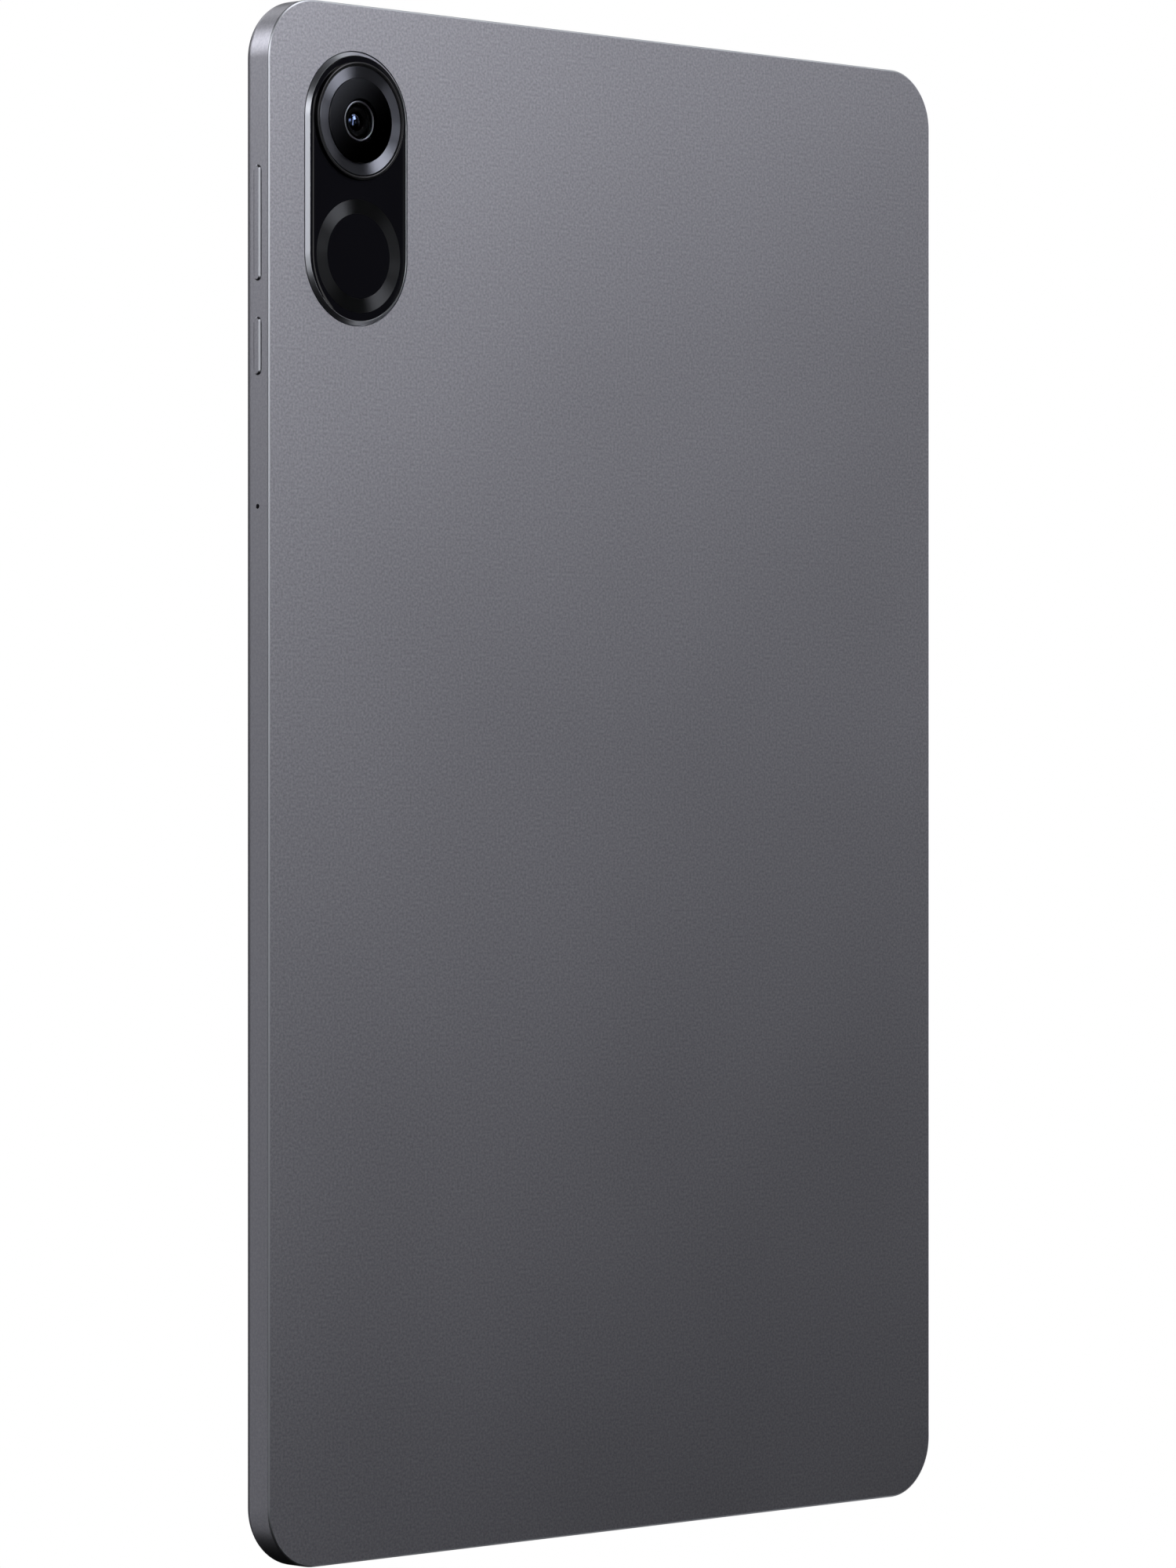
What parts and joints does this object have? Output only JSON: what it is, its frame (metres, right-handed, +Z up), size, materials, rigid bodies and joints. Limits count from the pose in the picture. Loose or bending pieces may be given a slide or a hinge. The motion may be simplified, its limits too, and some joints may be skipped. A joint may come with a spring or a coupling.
{
  "type": "tablet computer",
  "caption": "Slim upright tablet computer with an aluminium back tray, glass front, pill-shaped camera island and pressable side keys.",
  "frame": {"origin": "middle of the flat back face", "axes": "+Z up along the long side, +Y out of the screen, +X to the right for somebody who looks at the back"},
  "size_m": [0.1677, 0.008, 0.2674],
  "materials": {
    "sandblasted_aluminium": "fine sandblasted and anodised grey",
    "key_aluminium": "anodised grey with a bright bevel",
    "polished_aluminium": "diamond cut and polished",
    "black_anodised": "black anodised",
    "spun_black_metal": "black, spun in fine circles",
    "black_glass": "polished, black behind",
    "screen_glass": "polished, screen off",
    "lcd_cell": "polariser film, screen off",
    "coated_lens": "blue-violet anti-reflection coating",
    "black_plastic": "fine matt moulding",
    "light_guide": "white reflector film",
    "black_foam": "closed-cell foam",
    "speaker_mesh": "fine woven mesh",
    "sheet_steel": "pressed sheet",
    "circuit_board": "solder mask",
    "flex_circuit": "polyimide film",
    "battery_foil": "laminated pouch film"
  },
  "bodies": {
    "tablet_body": {"rear_housing": "sandblasted_aluminium", "display_frame": "black_plastic", "display_adhesive": "black_foam", "cover_glass": "screen_glass", "lcd_panel": "lcd_cell", "backlight_unit": "light_guide", "lcd_driver_board": "circuit_board", "camera_bezel": "polished_aluminium", "camera_cover_plate": "black_glass", "lower_trim_ring": "spun_black_metal", "lens_turret": "black_anodised", "lens_trim_ring": "spun_black_metal", "lens_cover_glass": "black_glass", "lens_mask": "black_plastic", "lens_bright_ring": "polished_aluminium", "rear_camera_case": "sheet_steel", "rear_camera_gasket": "black_foam", "rear_camera_sensor_board": "circuit_board", "volume_up_dome": "sheet_steel", "volume_down_dome": "sheet_steel", "power_dome": "sheet_steel", "key_flex": "flex_circuit", "key_bracket": "sheet_steel", "side_microphone_gasket": "black_foam", "side_microphone": "sheet_steel", "speaker_top_left": "black_plastic", "speaker_top_right": "black_plastic", "speaker_bottom_left": "black_plastic", "speaker_bottom_right": "black_plastic", "speaker_mesh_top_left": "speaker_mesh", "speaker_mesh_top_right": "speaker_mesh", "speaker_mesh_bottom_left": "speaker_mesh", "speaker_mesh_bottom_right": "speaker_mesh", "usb_c_shell": "sheet_steel", "usb_c_tongue": "black_plastic", "battery_cell_left": "battery_foil", "battery_cell_right": "battery_foil", "battery_protection_board": "circuit_board", "main_board": "circuit_board", "processor_shield": "sheet_steel", "power_shield": "sheet_steel", "radio_shield": "sheet_steel", "usb_board": "circuit_board", "link_flex": "flex_circuit", "wifi_antenna_upper": "flex_circuit", "wifi_antenna_lower": "flex_circuit", "main_board_screw_1": "sheet_steel", "main_board_screw_2": "sheet_steel", "main_board_screw_3": "sheet_steel", "main_board_screw_4": "sheet_steel", "usb_board_screw_1": "sheet_steel", "usb_board_screw_2": "sheet_steel", "front_camera": "black_plastic", "front_camera_lens": "coated_lens", "light_sensor": "coated_lens"},
    "volume_rocker": {"volume_key": "key_aluminium"},
    "power_button": {"power_key": "key_aluminium"},
    "autofocus": {"autofocus_barrel": "black_plastic", "front_lens": "coated_lens", "rear_lens": "coated_lens"}
  },
  "joints": [
    {"name": "volume_tilt", "type": "hinge", "parent": "tablet_body", "child": "volume_rocker", "pos_m": [-0.0817, 0.00279, 0.0952], "axis": [0, 1, 0], "range_deg": [-1.2, 1.2], "stiffness_Nm_per_rad": 0.3},
    {"name": "power_press", "type": "slide", "parent": "tablet_body", "child": "power_button", "axis": [1, 0, 0], "range_m": [0, 0.00025], "stiffness_N_per_m": 1500},
    {"name": "focus_travel", "type": "slide", "parent": "tablet_body", "child": "autofocus", "axis": [0, -1, 0], "range_m": [0, 0.0003], "stiffness_N_per_m": 60}
  ]
}
